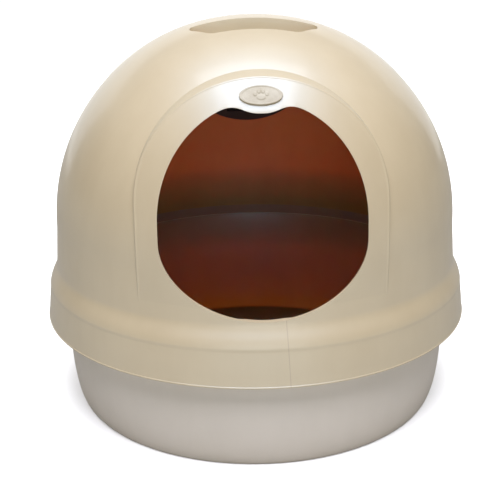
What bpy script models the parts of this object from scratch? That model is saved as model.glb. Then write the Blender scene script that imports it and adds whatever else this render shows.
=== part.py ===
"""Cat litter box with a domed hood: pan, lift-off hood, badge, and a hinged filter cover with its pad.

Blender 4.5, metres, +Z up, the entry faces -Y and the pan stands on Z = 0.
"""

from math import cos, exp, pi, radians, sin, sqrt

import bmesh
import bpy
from mathutils import Matrix, Vector

# ---------------------------------------------------------------- driving dimensions (metres)

# Walls and fits
WALL = 0.003               # moulded wall of the pan and the hood
FIT = 0.0003               # gap left between pieces that touch
RIM_CLEARANCE = 0.0008     # pan rim to the inside of the hood's skirt

# Pan
PAN_HEIGHT = 0.162         # floor to the top of the pan's rim, where the hood sits
PAN_CORNER_HEIGHT = 0.0925 # height of the rounded edge between base and wall
PAN_CORNER_REACH = 0.0155  # how far that rounded edge comes in
PAN_FLARE = 0.0070         # the wall leans out by this much up to the rim
PAN_LIP_DROP = 0.012       # height of the rim's turned-down lip
PAN_LIP_WALL = 0.0026      # thickness of that lip

# Hood
DOME_RADIUS = 0.2605       # outside, at the dome's widest level
DOME_RISE = 0.0771         # rim of the pan to that level
CROWN_DROP = 0.0026        # the very top is flatter than a ball by this much
CROWN_SPREAD = 0.095       # radius over which it flattens
WALL_DRAFT = 0.0037        # the straight wall below the dome leans out by this much
SHOULDER_RISE = 0.029      # rim of the pan up to the foot of that wall
SHOULDER_DIP = 0.0026      # rim of the pan down to the top of the skirt
SHOULDER_PULL = 1.5        # how much stronger the shoulder's curve is at the skirt than at the wall
SKIRT_STEP = 0.0195        # dome's widest level out to the skirt's lower edge
SKIRT_DRAFT = 0.0047       # the skirt leans out by this much
SKIRT_BOW = 0.0004         # and bulges by this much at half its height
SKIRT_DROP = 0.0435        # rim of the pan down to the skirt's lower edge
SEAT_WALL = 0.0025         # thickness of the ring that sits on the pan's rim
SEAT_INSET = 0.0006        # that ring stands this far inside the dome wall

# Raised entry panel
PANEL_STAND = 0.0025       # panel's stand-off at the dome's widest level
PANEL_BULGE = 0.0465       # how much taller than the dome the panel's curve is
PANEL_HALF_WIDTH = 0.1415
PANEL_SPRING = 0.0749      # dome's widest level up to where the arch starts
PANEL_ARCH = 0.134         # height of the arch
PANEL_FOOT = 0.049         # dome's widest level down to the panel's lower end

# Entry
DOOR_HALF_WIDTH = 0.1152
DOOR_LOW_CENTRE = 0.0357   # dome's widest level up to the lower curve's centre
DOOR_LOW_CURVE = 0.0831    # height of the lower curve
DOOR_HIGH_CENTRE = 0.0559  # dome's widest level up to the upper curve's centre
DOOR_HIGH_CURVE = 0.1297   # height of the upper curve
DOOR_DIP = 0.0127          # the top edge dips by this much between its two ears
DOOR_DIP_WIDTH = 0.025
DOOR_DIP_POWER = 2.6

# Carry handle: a strap of the dome left between two finger pockets
STRAP_HALF_WIDTH = 0.030
POCKET_HALF_LENGTH = 0.078
POCKET_FRONT_HALF_LENGTH = 0.052
POCKET_SHOULDER = 0.016    # straight part of the pocket's end, beside the strap
POCKET_REACH = 0.047       # strap to the pocket's far lip
POCKET_DEPTH = 0.030       # crown down to the pocket's floor
POCKET_WALL = 0.0025
POCKET_CORNER = 0.007

# Badge
BADGE_HALF_WIDTH = 0.0235
BADGE_HALF_HEIGHT = 0.0114
BADGE_THICKNESS = 0.0025
BADGE_RISE = 0.190         # dome's widest level up to the badge's centre

# Filter on the rear inner wall
FILTER_ELEVATION = radians(38.0)
FILTER_RING_RADIUS = 0.079
FILTER_RING_WALL = 0.003
FILTER_RING_DEPTH = 0.008
PAD_CLEARANCE = 0.002
PAD_THICKNESS = 0.0075
COVER_OVERHANG = 0.002
COVER_THICKNESS = 0.0025
COVER_BORDER = 0.012
COVER_BAR = 0.005
COVER_SLOT = 0.011
VENT_RADIUS = 0.056
VENT_SLOT = 0.006
VENT_PITCH = 0.014
VENT_COUNT = 7
HINGE_OFFSET = 0.0035      # cover's edge to the hinge axis
HINGE_RADIUS = 0.0043
PIN_RADIUS = 0.0020
PIN_PLAY = 0.0003
PIN_HALF_LENGTH = 0.023
KNUCKLE_HALF_LENGTH = 0.0155
LUG_THICKNESS = 0.005
LUG_GAP = 0.0005
LUG_REACH = 0.0046         # radius of a lug's round end

# Facets
AROUND = 72                # steps round the turned shapes
DOME_STEPS = 15
CURVE_STEPS = 6
PAN_CORNER_STEPS = 8
POCKET_CORNER_STEPS = 3
ARCH_STEPS = 28
DOOR_LOW_STEPS = 24
DOOR_HIGH_STEPS = 36
DISC_STEPS = 48
BADGE_STEPS = 40
HINGE_STEPS = 20
PIN_STEPS = 16
SMOOTH_ANGLE = radians(32.0)
MERGE = 1e-6

# ---------------------------------------------------------------- sizes that follow

DOME_Z = PAN_HEIGHT + DOME_RISE
TOP_Z = DOME_Z + DOME_RADIUS - CROWN_DROP
INNER_RADIUS = DOME_RADIUS - WALL
SEAT_RADIUS = INNER_RADIUS - SEAT_INSET
SKIRT_RADIUS = DOME_RADIUS + SKIRT_STEP
SHOULDER_RADIUS = SKIRT_RADIUS - SKIRT_DRAFT
SKIRT_Z = PAN_HEIGHT - SKIRT_DROP
PAN_MOUTH = SEAT_RADIUS + SEAT_WALL / 2
PAN_RIM_RADIUS = SHOULDER_RADIUS - WALL - RIM_CLEARANCE
PANEL_RADIUS = DOME_RADIUS + PANEL_STAND
PANEL_HEIGHT = DOME_RADIUS + PANEL_BULGE
POCKET_FLOOR_Z = TOP_Z - POCKET_DEPTH
FAR = DOME_RADIUS + 2 * PANEL_BULGE   # beyond every surface of the hood


# ---------------------------------------------------------------- helpers

def clear_scene():
    for item in list(bpy.data.objects):
        bpy.data.objects.remove(item, do_unlink=True)


def plastic(name, colour, roughness, metallic=0.0):
    material = bpy.data.materials.new(name)
    material.use_nodes = True
    shader = material.node_tree.nodes["Principled BSDF"]
    shader.inputs["Base Color"].default_value = (*colour, 1.0)
    shader.inputs["Roughness"].default_value = roughness
    shader.inputs["Metallic"].default_value = metallic
    return material


def object_from(bm, name, material=None):
    bmesh.ops.remove_doubles(bm, verts=bm.verts, dist=MERGE)
    bmesh.ops.recalc_face_normals(bm, faces=bm.faces)
    mesh = bpy.data.meshes.new(name)
    bm.to_mesh(mesh)
    bm.free()
    item = bpy.data.objects.new(name, mesh)
    bpy.context.collection.objects.link(item)
    if material:
        mesh.materials.append(material)
    return item


def turned(name, profile, closed=False, material=None):
    """A body turned round Z from a profile of (radius, height) points."""
    bm = bmesh.new()
    verts = [bm.verts.new((r, 0.0, z)) for r, z in profile]
    edges = [bm.edges.new(pair) for pair in zip(verts, verts[1:])]
    if closed:
        edges.append(bm.edges.new((verts[-1], verts[0])))
    bmesh.ops.spin(bm, geom=verts + edges, cent=(0, 0, 0), axis=(0, 0, 1), angle=2 * pi,
                   steps=AROUND, use_merge=True)
    return object_from(bm, name, material)


def prism(name, outline, low, high, place, material=None):
    """An outline in a plane's own X and Y, extruded from low to high along its Z, then placed."""
    bm = bmesh.new()
    face = bm.faces.new([bm.verts.new((x, y, low)) for x, y in outline])
    made = bmesh.ops.extrude_face_region(bm, geom=[face])["geom"]
    moved = [part for part in made if isinstance(part, bmesh.types.BMVert)]
    bmesh.ops.translate(bm, vec=(0, 0, high - low), verts=moved)
    bmesh.ops.transform(bm, matrix=place, verts=bm.verts)
    return object_from(bm, name, material)


def circle(radius, steps):
    angles = [2 * pi * i / steps for i in range(steps)]
    return [(radius * cos(a), radius * sin(a)) for a in angles]


def box_between(name, low, high, place, material=None):
    outline = [(low[0], low[1]), (high[0], low[1]), (high[0], high[1]), (low[0], high[1])]
    return prism(name, outline, low[2], high[2], place, material)


def combine(item, other, operation):
    """Apply an exact Boolean to item and remove the other object."""
    modifier = item.modifiers.new(operation.title(), "BOOLEAN")
    modifier.operation = operation
    modifier.solver = "EXACT"
    modifier.object = other
    graph = bpy.context.evaluated_depsgraph_get()
    mesh = bpy.data.meshes.new_from_object(item.evaluated_get(graph))
    item.modifiers.clear()
    old = item.data
    mesh.name = item.name
    item.data = mesh
    bpy.data.meshes.remove(old)
    bpy.data.objects.remove(other, do_unlink=True)
    return item


def finish(item):
    """Clean up the facets, shade them smooth and keep the true edges sharp."""
    bm = bmesh.new()
    bm.from_mesh(item.data)
    bmesh.ops.remove_doubles(bm, verts=bm.verts, dist=MERGE)
    bmesh.ops.dissolve_degenerate(bm, edges=bm.edges, dist=MERGE)
    bmesh.ops.triangulate(bm, faces=[f for f in bm.faces if len(f.verts) > 4])
    bm.to_mesh(item.data)
    bm.free()
    item.data.shade_smooth()
    item.data.set_sharp_from_angle(angle=SMOOTH_ANGLE)
    return item


def set_origin(item, point):
    """Put an object's origin at a point and leave its shape where it is."""
    item.data.transform(Matrix.Translation(-Vector(point)))
    item.location = point


def ellipse_arc(centre, reach, start, end, steps):
    """Points on an ellipse about centre, from angle start to angle end."""
    angles = [start + (end - start) * i / steps for i in range(steps + 1)]
    return [(centre[0] + reach[0] * cos(a), centre[1] + reach[1] * sin(a)) for a in angles]


def bezier(a, b, c, d, steps):
    """Points on a cubic curve from a to d, without a itself."""
    points = []
    for i in range(1, steps + 1):
        t = i / steps
        s = 1 - t
        weights = (s ** 3, 3 * s * s * t, 3 * s * t * t, t ** 3)
        points.append(tuple(sum(w * p[k] for w, p in zip(weights, (a, b, c, d))) for k in (0, 1)))
    return points


def round_corners(points, radius, steps):
    """A closed outline with each corner replaced by a short curve."""
    outline = []
    for i, point in enumerate(points):
        here = Vector(point)
        before = Vector(points[i - 1]) - here
        after = Vector(points[(i + 1) % len(points)]) - here
        start = here + before.normalized() * radius
        end = here + after.normalized() * radius
        for k in range(steps + 1):
            t = k / steps
            outline.append(tuple((1 - t) ** 2 * start + 2 * t * (1 - t) * here + t * t * end))
    return outline


# ---------------------------------------------------------------- pan

def pan_wall(height, inset):
    """Radius of the pan's wall at a height, inset from its outside."""
    rise = (height - PAN_CORNER_HEIGHT) / (PAN_HEIGHT - PAN_CORNER_HEIGHT)
    return PAN_MOUTH + WALL - inset - PAN_FLARE * (1 - rise * rise)


def build_pan(material):
    rim_under = PAN_HEIGHT - WALL
    wall_levels = [PAN_CORNER_HEIGHT + (rim_under - PAN_CORNER_HEIGHT) * i / CURVE_STEPS
                   for i in range(1, CURVE_STEPS + 1)]
    foot = pan_wall(PAN_CORNER_HEIGHT, 0) - PAN_CORNER_REACH
    corner = (foot, PAN_CORNER_HEIGHT)
    outer_reach = (PAN_CORNER_REACH, PAN_CORNER_HEIGHT)
    inner_reach = (PAN_CORNER_REACH - WALL, PAN_CORNER_HEIGHT - WALL)
    outside = [(0.0, 0.0)] + ellipse_arc(corner, outer_reach, -pi / 2, 0, PAN_CORNER_STEPS)
    outside += [(pan_wall(z, 0), z) for z in wall_levels]
    lip_inside = PAN_RIM_RADIUS - PAN_LIP_WALL
    lip_low = PAN_HEIGHT - PAN_LIP_DROP
    rim = [(lip_inside, rim_under), (lip_inside, lip_low), (PAN_RIM_RADIUS, lip_low),
           (PAN_RIM_RADIUS, rim_under), (PAN_RIM_RADIUS - WALL / 2, PAN_HEIGHT)]
    inside = [(pan_wall(PAN_HEIGHT, WALL), PAN_HEIGHT)]
    inside += [(pan_wall(z, WALL), z) for z in reversed(wall_levels)]
    inside += ellipse_arc(corner, inner_reach, 0, -pi / 2, PAN_CORNER_STEPS) + [(0.0, WALL)]
    return finish(turned("pan", outside + rim + inside, material=material))


# ---------------------------------------------------------------- hood

def crown_height(radius, ball):
    """Height of the dome's surface above its widest level."""
    drop = CROWN_DROP * exp(-(radius / CROWN_SPREAD) ** 2)
    return sqrt(max(ball * ball - radius * radius, 0.0)) - drop


def dome_curve(ball):
    """Dome profile from the top down to its widest level."""
    radii = [ball * sin(pi / 2 * i / DOME_STEPS) for i in range(DOME_STEPS)]
    curve = [(r, DOME_Z + crown_height(r, ball)) for r in radii]
    return curve + [(ball, DOME_Z)]


def skirt_curve(inset):
    """Profile of the wall, shoulder and skirt, inset from the outside."""
    wall_foot = (DOME_RADIUS + WALL_DRAFT - inset, PAN_HEIGHT + SHOULDER_RISE)
    skirt_top = (SHOULDER_RADIUS - inset, PAN_HEIGHT - SHOULDER_DIP)
    lean = (skirt_top[1] - wall_foot[1]) / 3
    first = (wall_foot[0] + WALL_DRAFT / 5, wall_foot[1] + lean)
    second = (skirt_top[0] - WALL_DRAFT / 2, skirt_top[1] - lean * SHOULDER_PULL)
    edge = (SKIRT_RADIUS - inset, SKIRT_Z)
    middle = ((skirt_top[0] + edge[0]) / 2 + SKIRT_BOW, (skirt_top[1] + edge[1]) / 2)
    return [wall_foot] + bezier(wall_foot, first, second, skirt_top, CURVE_STEPS) + [middle, edge]


def build_dome_solid():
    """The hood's outside as one solid, with its lower face closed."""
    profile = dome_curve(DOME_RADIUS) + skirt_curve(0) + [(0.0, SKIRT_Z)]
    return turned("hood", profile)


def build_dome_void():
    """The space inside the dome and its seat ring."""
    seat_top = PAN_HEIGHT + SHOULDER_RISE - WALL
    profile = dome_curve(INNER_RADIUS) + [(SEAT_RADIUS, seat_top), (SEAT_RADIUS, SKIRT_Z - WALL),
                                          (0.0, SKIRT_Z - WALL)]
    return turned("dome_void", profile)


def build_skirt_channel():
    """The ring-shaped space between the seat ring and the skirt, and below the seat."""
    outer = skirt_curve(WALL)
    seat_outside = SEAT_RADIUS + SEAT_WALL
    top = outer[0][1] - WALL
    low = SKIRT_Z - WALL
    seat = PAN_HEIGHT + FIT
    wall = [(r, z) for r, z in outer if z < top]
    wall[-1] = (wall[-1][0], low)
    ring = [(seat_outside, top), (wall[0][0], top)] + wall
    ring += [(SEAT_RADIUS - WALL, low), (SEAT_RADIUS - WALL, seat), (seat_outside, seat)]
    return turned("skirt_channel", ring, closed=True)


FRONT = Matrix.Rotation(pi / 2, 4, "X")    # a plane's X, Y, Z become X, Z, -Y


def arch_outline(inset):
    """Outline of the entry panel in X and height."""
    spring = DOME_Z + PANEL_SPRING
    reach = (PANEL_HALF_WIDTH - inset, PANEL_ARCH - inset)
    foot = DOME_Z - PANEL_FOOT + inset
    outline = ellipse_arc((0.0, spring), reach, 0, pi, ARCH_STEPS)
    return [(reach[0], foot)] + outline + [(-reach[0], foot)]


def panel_body(name, inset, stand=0.0):
    """The panel's curved body, turned round Z."""
    radius = PANEL_RADIUS - inset + stand
    height = PANEL_HEIGHT - inset + stand
    foot = DOME_Z - PANEL_FOOT + inset
    curve = [(radius * cos(pi / 2 * i / DOME_STEPS), DOME_Z + height * sin(pi / 2 * i / DOME_STEPS))
             for i in range(DOME_STEPS)]
    return turned(name, [(0.0, foot), (radius, foot)] + curve + [(0.0, DOME_Z + height)])


def build_panel(inset):
    """The panel's body cut to its arch."""
    body = panel_body("panel", inset)
    arch = prism("arch", arch_outline(inset), STRAP_HALF_WIDTH + POCKET_REACH, FAR, FRONT)
    return combine(body, arch, "INTERSECT")


def door_outline():
    """Outline of the entry: two part-ellipses, with a dip between two ears at the top."""
    low_reach = (DOOR_HALF_WIDTH, DOOR_LOW_CURVE)
    high_reach = (DOOR_HALF_WIDTH, DOOR_HIGH_CURVE)
    low = ellipse_arc((0.0, DOME_Z + DOOR_LOW_CENTRE), low_reach, pi, 2 * pi, DOOR_LOW_STEPS)
    high = ellipse_arc((0.0, DOME_Z + DOOR_HIGH_CENTRE), high_reach, 0, pi, DOOR_HIGH_STEPS)
    eared = [(x, z - DOOR_DIP * exp(-(abs(x) / DOOR_DIP_WIDTH) ** DOOR_DIP_POWER)) for x, z in high]
    return low + eared


def pocket_outline(side, grow):
    """Outline of a finger pocket seen from above; side is -1 for the front one."""
    near = STRAP_HALF_WIDTH - grow
    far = STRAP_HALF_WIDTH + POCKET_REACH + grow
    bend = STRAP_HALF_WIDTH + POCKET_SHOULDER
    long_half = POCKET_HALF_LENGTH + grow
    short_half = POCKET_FRONT_HALF_LENGTH + grow / 2
    corners = [(long_half, near), (long_half, bend), (short_half, far),
               (-short_half, far), (-long_half, bend), (-long_half, near)]
    return [(x, side * y) for x, y in round_corners(corners, POCKET_CORNER, POCKET_CORNER_STEPS)]


def leave_pocket_tubs(void):
    """Keep the finger pockets' floors and walls out of the space that is cut from the dome."""
    for side in (-1, 1):
        tub = prism("tub", pocket_outline(side, POCKET_WALL), POCKET_FLOOR_Z - POCKET_WALL, TOP_Z + WALL,
                    Matrix())
        combine(void, tub, "DIFFERENCE")


def cut_pockets(hood):
    for side in (-1, 1):
        pocket = prism("pocket", pocket_outline(side, 0.0), POCKET_FLOOR_Z, TOP_Z + WALL, Matrix())
        combine(hood, pocket, "DIFFERENCE")


# ---------------------------------------------------------------- filter

RING_DISTANCE = sqrt(INNER_RADIUS ** 2 - FILTER_RING_RADIUS ** 2)   # dome's centre to the ring's foot
COVER_RADIUS = FILTER_RING_RADIUS + COVER_OVERHANG
COVER_BACK = -FILTER_RING_DEPTH - FIT
COVER_FRONT = COVER_BACK - COVER_THICKNESS
HINGE_UP = COVER_RADIUS + HINGE_OFFSET
HINGE_IN = (COVER_BACK + COVER_FRONT) / 2


def filter_place():
    """The filter's own frame: X across, Y up the rear wall, Z out through the wall."""
    across = Vector((1, 0, 0))
    out = Vector((0, cos(FILTER_ELEVATION), sin(FILTER_ELEVATION)))
    up = Vector((0, -out.z, out.y))
    centre = Vector((0, 0, DOME_Z)) + out * RING_DISTANCE
    place = Matrix((across, up, out)).transposed().to_4x4()
    place.translation = centre
    return place


def hinge_place():
    """The hinge's own frame: X into the box, Y up the rear wall, Z along the hinge axis."""
    return filter_place() @ Matrix.Translation((0, HINGE_UP, HINGE_IN)) @ Matrix.Rotation(pi / 2, 4, "Y")


def hinge_rod(name, radius, half_length, steps=HINGE_STEPS, material=None):
    """A round bar along the hinge axis, centred between the lugs."""
    return prism(name, circle(radius, steps), -half_length, half_length, hinge_place(), material)


def leave_filter_seat(void):
    """Keep the filter's ring and hinge lugs out of the space that is cut from the dome."""
    place = filter_place()
    outside = circle(FILTER_RING_RADIUS, DISC_STEPS)
    inside = circle(FILTER_RING_RADIUS - FILTER_RING_WALL, DISC_STEPS)
    ring = prism("ring", outside, -FILTER_RING_DEPTH, 2 * WALL, place)
    bore = prism("bore", inside, -2 * FILTER_RING_DEPTH, 3 * WALL, place)
    combine(void, combine(ring, bore, "DIFFERENCE"), "DIFFERENCE")
    wall_side = HINGE_IN - 2 * WALL
    outline = ellipse_arc((0.0, 0.0), (LUG_REACH, LUG_REACH), -pi / 2, pi / 2, HINGE_STEPS // 2)
    outline += [(wall_side, LUG_REACH), (wall_side, -LUG_REACH)]
    inner = KNUCKLE_HALF_LENGTH + LUG_GAP
    for side in (-1, 1):
        low, high = sorted((side * inner, side * (inner + LUG_THICKNESS)))
        lug = prism("lug", outline, low, high, hinge_place())
        combine(lug, hinge_rod("pin_bore", PIN_RADIUS + PIN_PLAY, inner + 2 * LUG_THICKNESS), "DIFFERENCE")
        combine(void, lug, "DIFFERENCE")


def cut_vents(hood):
    """The vent slots through the wall behind the pad."""
    for i in range(VENT_COUNT):
        x = (i - (VENT_COUNT - 1) / 2) * VENT_PITCH
        half = sqrt(VENT_RADIUS ** 2 - x * x)
        low = (x - VENT_SLOT / 2, -half, -WALL)
        high = (x + VENT_SLOT / 2, half, PANEL_BULGE)
        combine(hood, box_between("slot", low, high, filter_place()), "DIFFERENCE")


def build_hood(material):
    void = build_dome_void()
    leave_pocket_tubs(void)
    leave_filter_seat(void)
    hood = build_dome_solid()
    combine(hood, build_panel(0.0), "UNION")
    combine(hood, void, "DIFFERENCE")
    combine(hood, build_panel(WALL), "DIFFERENCE")
    combine(hood, build_skirt_channel(), "DIFFERENCE")
    combine(hood, prism("door", door_outline(), PANEL_HALF_WIDTH, FAR, FRONT), "DIFFERENCE")
    cut_pockets(hood)
    cut_vents(hood)
    hood.data.materials.clear()
    hood.data.materials.append(material)
    return finish(hood)


def build_badge(material):
    """An oval plate that follows the panel's curve, a fit gap off it."""
    slope = PANEL_RADIUS * sqrt(1 - (BADGE_RISE / PANEL_HEIGHT) ** 2)
    lean = Vector((slope / PANEL_RADIUS ** 2, BADGE_RISE / PANEL_HEIGHT ** 2)).normalized()
    out = Vector((0, -lean.x, lean.y))
    up = Vector((0, lean.y, lean.x))
    place = Matrix((Vector((1, 0, 0)), up, out)).transposed().to_4x4()
    place.translation = Vector((0, -slope, DOME_Z + BADGE_RISE))
    outline = [(x * BADGE_HALF_WIDTH, y * BADGE_HALF_HEIGHT) for x, y in circle(1.0, BADGE_STEPS)]
    badge = prism("badge", outline, -WALL, 2 * BADGE_THICKNESS, place, material)
    combine(badge, panel_body("over", 0.0, FIT + BADGE_THICKNESS), "INTERSECT")
    combine(badge, panel_body("under", 0.0, FIT), "DIFFERENCE")
    badge.data.materials.clear()
    badge.data.materials.append(material)
    return finish(badge)


def build_filter_cover(material):
    """A slotted disc with a hinge knuckle above it."""
    place = filter_place()
    cover = prism("filter_cover", circle(COVER_RADIUS, DISC_STEPS), COVER_FRONT, COVER_BACK, place)
    neck = box_between("neck", (-KNUCKLE_HALF_LENGTH, COVER_RADIUS - COVER_BORDER / 2, COVER_FRONT),
                       (KNUCKLE_HALF_LENGTH, HINGE_UP, COVER_BACK), place)
    combine(cover, neck, "UNION")
    combine(cover, hinge_rod("knuckle", HINGE_RADIUS, KNUCKLE_HALF_LENGTH), "UNION")
    combine(cover, hinge_rod("knuckle_bore", PIN_RADIUS + PIN_PLAY, PIN_HALF_LENGTH), "DIFFERENCE")
    window = COVER_RADIUS - COVER_BORDER
    pitch = COVER_SLOT + COVER_BAR
    count = int((2 * window + COVER_BAR) / pitch)
    for i in range(count):
        y = (i - (count - 1) / 2) * pitch
        half = sqrt(max(window ** 2 - (abs(y) + COVER_SLOT / 2) ** 2, 0.0))
        if half < 2 * COVER_BAR:
            continue
        for side in (-1, 1):
            span = sorted((side * COVER_BAR / 2, side * half))
            low = (span[0], y - COVER_SLOT / 2, COVER_FRONT - WALL)
            high = (span[1], y + COVER_SLOT / 2, COVER_BACK + WALL)
            combine(cover, box_between("slot", low, high, place), "DIFFERENCE")
    cover.data.materials.clear()
    cover.data.materials.append(material)
    set_origin(cover, filter_place() @ Vector((0, HINGE_UP, HINGE_IN)))
    return finish(cover)


def build_filter_pad(material):
    outline = circle(FILTER_RING_RADIUS - FILTER_RING_WALL - PAD_CLEARANCE, DISC_STEPS)
    low = COVER_BACK + FIT
    return finish(prism("filter_pad", outline, low, low + PAD_THICKNESS, filter_place(), material))


def build_hinge_pin(material):
    return finish(hinge_rod("hinge_pin", PIN_RADIUS, PIN_HALF_LENGTH, PIN_STEPS, material))


# ---------------------------------------------------------------- the object

clear_scene()
build_pan(plastic("pan_plastic", (0.66, 0.59, 0.49), 0.42))
build_hood(plastic("hood_plastic", (0.80, 0.73, 0.60), 0.35))
build_badge(plastic("badge_plastic", (0.66, 0.61, 0.50), 0.48))
build_filter_cover(plastic("cover_plastic", (0.30, 0.26, 0.22), 0.50))
build_filter_pad(plastic("carbon_foam", (0.03, 0.03, 0.03), 0.95))
build_hinge_pin(plastic("pin_plastic", (0.55, 0.50, 0.42), 0.45))
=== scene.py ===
"""Looks of the hooded cat litter box: fine meshes, pearl plastic, studio floor, lights and camera."""
from math import cos, exp, pi, radians, sin, sqrt

import bmesh
import bpy
from mathutils import Matrix, Vector


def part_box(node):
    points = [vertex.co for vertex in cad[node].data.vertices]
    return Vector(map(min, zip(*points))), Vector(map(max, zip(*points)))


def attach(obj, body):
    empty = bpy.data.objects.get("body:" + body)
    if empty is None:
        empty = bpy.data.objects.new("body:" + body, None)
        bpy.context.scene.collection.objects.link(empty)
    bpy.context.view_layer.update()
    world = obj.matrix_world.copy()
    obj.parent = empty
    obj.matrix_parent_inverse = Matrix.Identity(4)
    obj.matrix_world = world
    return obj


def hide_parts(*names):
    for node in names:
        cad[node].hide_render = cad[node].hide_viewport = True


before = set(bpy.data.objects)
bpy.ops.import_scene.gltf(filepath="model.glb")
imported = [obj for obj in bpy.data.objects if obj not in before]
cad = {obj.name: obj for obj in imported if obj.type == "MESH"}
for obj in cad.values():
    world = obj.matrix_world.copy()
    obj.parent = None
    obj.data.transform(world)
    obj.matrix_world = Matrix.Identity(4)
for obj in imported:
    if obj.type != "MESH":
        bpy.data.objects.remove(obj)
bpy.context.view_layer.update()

# ---------------------------------------------------------------- sizes (metres), as the CAD part has them

# Measured from the CAD nodes
PAN_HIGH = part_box("pan")[1]
HOOD_LOW, HOOD_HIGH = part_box("hood")

PAN_HEIGHT = PAN_HIGH.z
PAN_RIM_RADIUS = PAN_HIGH.x
SKIRT_RADIUS = HOOD_HIGH.x
SKIRT_Z = HOOD_LOW.z
TOP_Z = HOOD_HIGH.z

# Walls and fits
WALL = 0.003
FIT = 0.0003               # gap left between pieces that touch
FAR = 0.36                 # beyond every surface of the hood

# Hood
CROWN_DROP = 0.0026
CROWN_SPREAD = 0.095
SKIRT_STEP = 0.0195
DOME_RADIUS = SKIRT_RADIUS - SKIRT_STEP
DOME_Z = TOP_Z + CROWN_DROP - DOME_RADIUS
WALL_DRAFT = 0.0037
SHOULDER_RISE = 0.029
SHOULDER_DIP = 0.0026
SHOULDER_PULL = 1.5        # the shoulder's curve is this much stronger at the skirt than at the wall
SKIRT_DRAFT = 0.0047
SKIRT_BOW = SKIRT_DRAFT / 12   # the skirt bulges by this much at half its height
SHOULDER_RADIUS = SKIRT_RADIUS - SKIRT_DRAFT
SEAT_WALL = 0.0025
SEAT_INSET = 0.0006
INNER_RADIUS = DOME_RADIUS - WALL
SEAT_RADIUS = INNER_RADIUS - SEAT_INSET

# Pan
PAN_MOUTH = SEAT_RADIUS + SEAT_WALL / 2
PAN_CORNER_HEIGHT = 0.0925
PAN_CORNER_REACH = 0.0155
PAN_FLARE = 0.0070
PAN_LIP_DROP = 0.012
PAN_LIP_WALL = 0.0026
PAN_EDGE_ROUND = 0.0012    # round of the mouth's inner edge
PAN_RIM_ROUND = 0.002      # round of the rim's outer edge

# Raised entry panel
PANEL_RADIUS = DOME_RADIUS + 0.0025
PANEL_HEIGHT = DOME_RADIUS + 0.0465
PANEL_HALF_WIDTH = 0.1415
PANEL_SPRING = DOME_Z + 0.0749
PANEL_ARCH = 0.134
PANEL_FOOT = DOME_Z - 0.049
PANEL_MIDDLE = DOME_Z + 0.03   # height of the point that the panel's front is filled towards
PANEL_ROUND = 0.0022       # round of the panel's edge
PANEL_ROUND_DEPTH = 1.4    # the round is this much deeper than it is wide
PANEL_DRAFT = 0.05         # the panel's sides lean out by this share of their depth
PANEL_BACK = 0.080

# Entry
DOOR_HALF_WIDTH = 0.1152
DOOR_LOW_CENTRE = DOME_Z + 0.0357
DOOR_LOW_CURVE = 0.0831
DOOR_HIGH_CENTRE = DOME_Z + 0.0559
DOOR_HIGH_CURVE = 0.1297
DOOR_DIP = 0.0127
DOOR_DIP_WIDTH = 0.025
DOOR_DIP_POWER = 2.6
DOOR_EDGE_ROUND = 0.0008
DOOR_EDGE_ANGLE = radians(50)

# Finger pockets beside the carry strap
STRAP_HALF_WIDTH = 0.030
POCKET_HALF_LENGTH = 0.078
POCKET_FRONT_HALF_LENGTH = 0.052
POCKET_SHOULDER = 0.016
POCKET_REACH = 0.047
POCKET_FLOOR_Z = TOP_Z - 0.030
POCKET_WALL = 0.0025
POCKET_CORNER = 0.007

# Badge
BADGE_HALF_WIDTH = 0.0235
BADGE_HALF_HEIGHT = 0.0114
BADGE_THICKNESS = 0.0025
BADGE_RISE = 0.190
BADGE_EDGE_ROUND = 0.0007
BADGE_BORDER = 0.86        # share of the badge's size where its face dips inside the border
BADGE_DISH = 0.0004
PAW_RELIEF = 0.0006

# Filter on the rear inner wall
FILTER_ELEVATION = radians(38.0)
FILTER_RING_RADIUS = 0.079
FILTER_RING_WALL = 0.003
FILTER_RING_DEPTH = 0.008
COVER_EDGE = FILTER_RING_RADIUS + 0.002
HINGE_UP = COVER_EDGE + 0.0035
HINGE_IN = -FILTER_RING_DEPTH - FIT - 0.00125
KNUCKLE_HALF_LENGTH = 0.0155
LUG_GAP = 0.0005
LUG_THICKNESS = 0.005
LUG_REACH = 0.0046
PIN_BORE = 0.0023
PIN_BORE_HALF_LENGTH = 0.028
VENT_RADIUS = 0.056
VENT_SLOT = 0.006
VENT_PITCH = 0.014
VENT_COUNT = 7
VENT_REACH = 0.046         # how far the vent cutters run out through the wall

# Bead along the skirt's lower edge
BEAD_RADIUS = 0.0013
BEAD_STAND = 0.0006        # it stands out from the skirt by this much
BEAD_START = radians(62)

# Facets
AROUND = 288
DOME_STEPS = 64
WALL_STEPS = 10
SHOULDER_STEPS = 24
INNER_WALL_STEPS = 8
SEAT_STEPS = 6
BEAD_STEPS = 10
ARCH_STEPS = 120
ARCH_SIDE_STEPS = 24
ARCH_BASE_STEPS = 40
PANEL_RINGS = 30
PANEL_LAST_RING = 0.985
PANEL_ROUND_STEPS = 6
PANEL_SIDE_RINGS = 5
DOOR_LOW_STEPS = 72
DOOR_HIGH_STEPS = 120
DOOR_EDGE_SEGMENTS = 3
POCKET_CORNER_STEPS = 8
RING_STEPS = 128
HINGE_STEPS = 24
VENT_END_STEPS = 10
PAN_WALL_STEPS = 24
PAN_FLOOR_STEPS = 12
PAN_CORNER_STEPS = 28
PAN_INNER_CORNER_STEPS = 24
PAN_RIM_STEPS = 6
PAN_MOUTH_STEPS = 5
BADGE_STEPS = 160
BADGE_RINGS = 36
BADGE_EDGE_STEPS = 4
SLIVER = 1e-5
BADGE_SMOOTH_ANGLE = radians(40.0)
SMOOTH_ANGLE = radians(26.0)
MERGE = 1e-6


# ---------------------------------------------------------------- mesh helpers

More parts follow.
